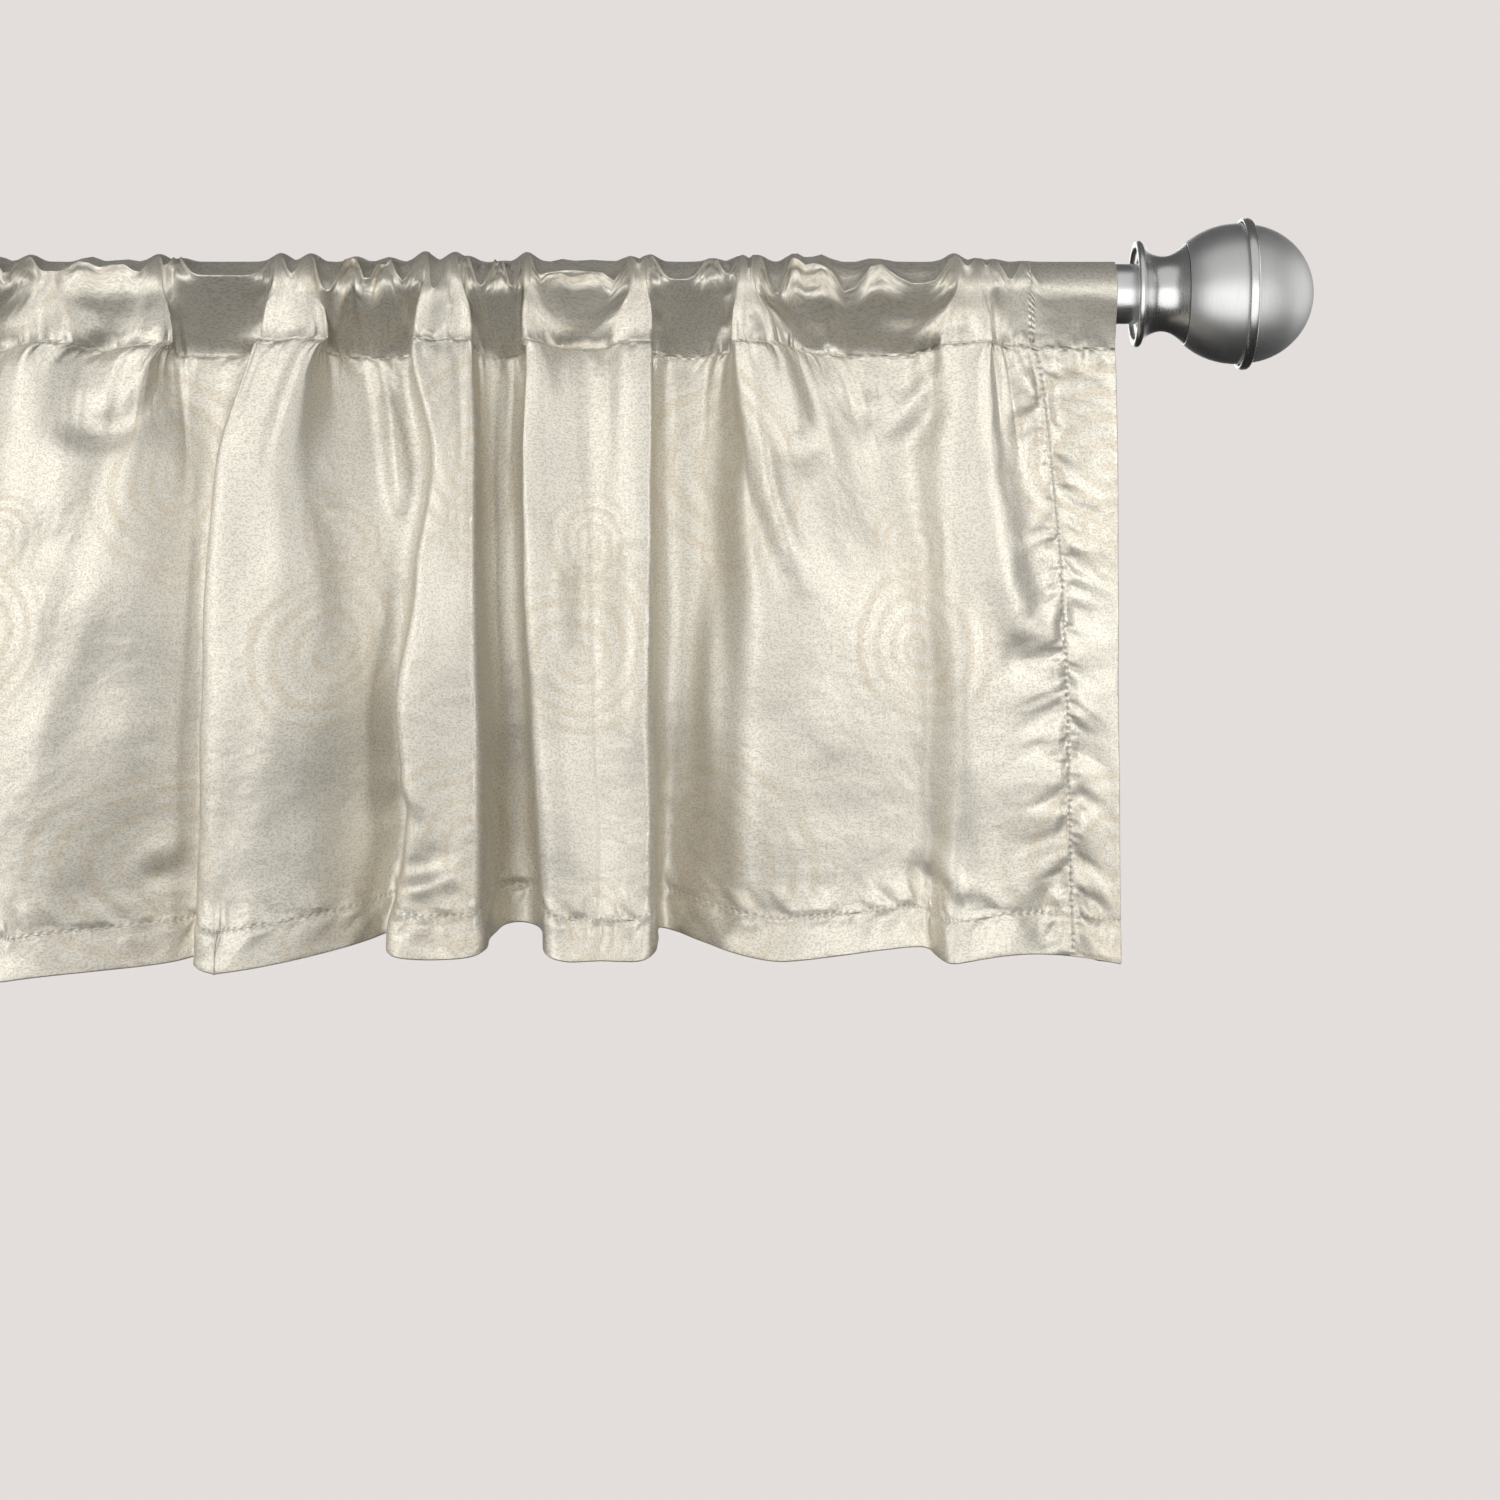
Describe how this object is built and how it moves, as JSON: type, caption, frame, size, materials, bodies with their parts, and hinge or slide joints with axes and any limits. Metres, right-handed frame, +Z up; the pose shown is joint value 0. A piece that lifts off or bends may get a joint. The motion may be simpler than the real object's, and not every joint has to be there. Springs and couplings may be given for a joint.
{
  "type": "gathered window valance on a curtain rod",
  "caption": "Satin rod-pocket valance gathered on a round curtain rod with ball finials, dressing the top of a window.",
  "frame": {"origin": "middle of the rod's axis, half way between the two wall brackets that hold it", "axes": "+X along the rod to the right as seen from the front, +Y back towards the wall, +Z up"},
  "size_m": [1.1158, 0.0642, 0.3223],
  "materials": {
    "satin": "ivory satin weave with a faint tone-on-tone scroll print",
    "rod_steel": "bright plated steel",
    "brushed_nickel": "brushed nickel",
    "polished_nickel": "polished nickel"
  },
  "bodies": {
    "root": {"valance": "satin", "rod": "rod_steel", "finial_neck_left": "brushed_nickel", "finial_bulb_left": "brushed_nickel", "finial_ring_left": "polished_nickel", "finial_cap_left": "brushed_nickel", "finial_neck_right": "brushed_nickel", "finial_bulb_right": "brushed_nickel", "finial_ring_right": "polished_nickel", "finial_cap_right": "brushed_nickel"}
  },
  "joints": []
}
